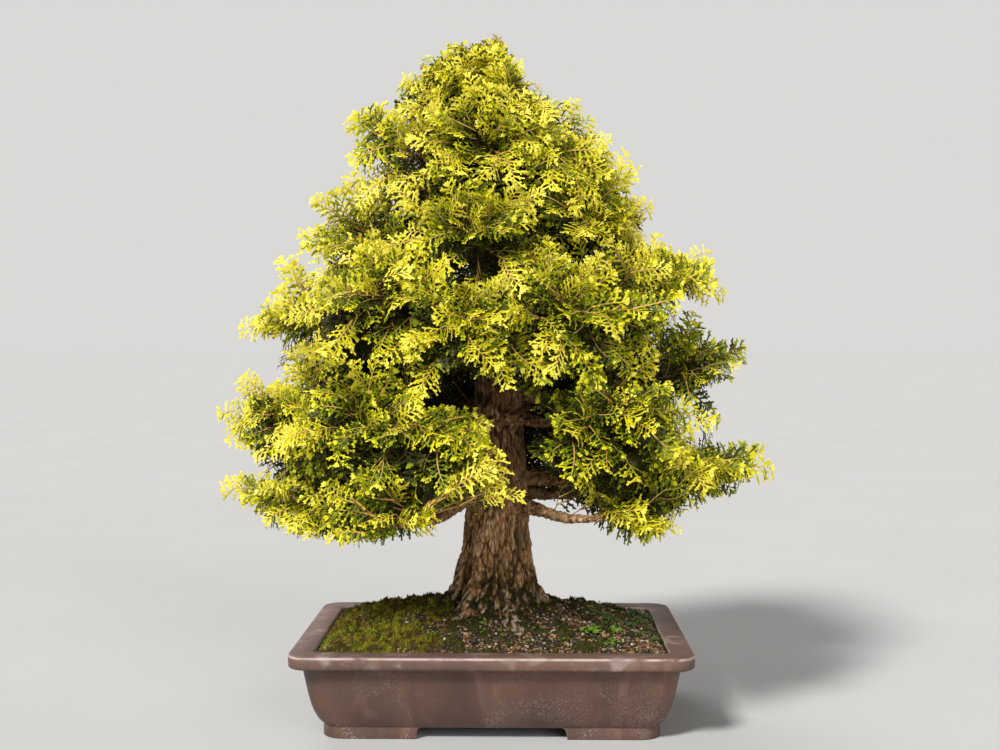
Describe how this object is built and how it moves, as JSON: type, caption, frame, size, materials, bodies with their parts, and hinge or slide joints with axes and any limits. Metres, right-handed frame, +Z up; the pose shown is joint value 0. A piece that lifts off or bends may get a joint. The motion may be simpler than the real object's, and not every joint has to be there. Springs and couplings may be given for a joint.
{
  "type": "arborvitae bonsai",
  "caption": "Golden arborvitae bonsai: a cone of tiered, flat fern-like sprays on a flared, fissured trunk, in moss and grit in a rectangular unglazed clay pot on corner feet.",
  "frame": {"origin": "centre of the pot's underside in plan, on the surface that its feet stand on", "axes": "+Z up along the trunk, -Y towards the viewer of the tree's front, +X to that viewer's right"},
  "size_m": [0.6001, 0.4619, 0.7303],
  "materials": {
    "clay": "matte",
    "soil": "matte",
    "bark": "matte",
    "foliage": "satin"
  },
  "bodies": {
    "root": {"back_fifth_foliage": "foliage", "back_fourth_bough": "bark", "back_fourth_foliage": "foliage", "back_left_low_bough": "bark", "back_left_low_foliage": "foliage", "back_left_second_bough": "bark", "back_left_second_foliage": "foliage", "back_left_third_bough": "bark", "back_left_third_foliage": "foliage", "back_low_bough": "bark", "back_low_foliage": "foliage", "back_right_low_bough": "bark", "back_right_low_foliage": "foliage", "back_right_second_bough": "bark", "back_right_second_foliage": "foliage", "back_right_third_bough": "bark", "back_right_third_foliage": "foliage", "back_top_foliage": "foliage", "front_fifth_foliage": "foliage", "front_fourth_bough": "bark", "front_fourth_foliage": "foliage", "front_left_low_bough": "bark", "front_left_low_foliage": "foliage", "front_left_second_bough": "bark", "front_left_second_foliage": "foliage", "front_left_third_bough": "bark", "front_left_third_foliage": "foliage", "front_right_low_bough": "bark", "front_right_low_foliage": "foliage", "front_right_second_bough": "bark", "front_right_second_foliage": "foliage", "front_right_third_bough": "bark", "front_right_third_foliage": "foliage", "front_third_bough": "bark", "front_third_foliage": "foliage", "front_top_foliage": "foliage", "leader_foliage": "foliage", "left_fifth_foliage": "foliage", "left_fourth_bough": "bark", "left_fourth_foliage": "foliage", "left_low_bough": "bark", "left_low_foliage": "foliage", "left_second_bough": "bark", "left_second_foliage": "foliage", "left_third_bough": "bark", "left_third_foliage": "foliage", "left_top_foliage": "foliage", "pot": "clay", "right_fifth_foliage": "foliage", "right_fourth_bough": "bark", "right_fourth_foliage": "foliage", "right_low_bough": "bark", "right_low_foliage": "foliage", "right_second_bough": "bark", "right_second_foliage": "foliage", "right_third_bough": "bark", "right_third_foliage": "foliage", "right_top_foliage": "foliage", "soil": "soil", "trunk": "bark"}
  },
  "joints": []
}
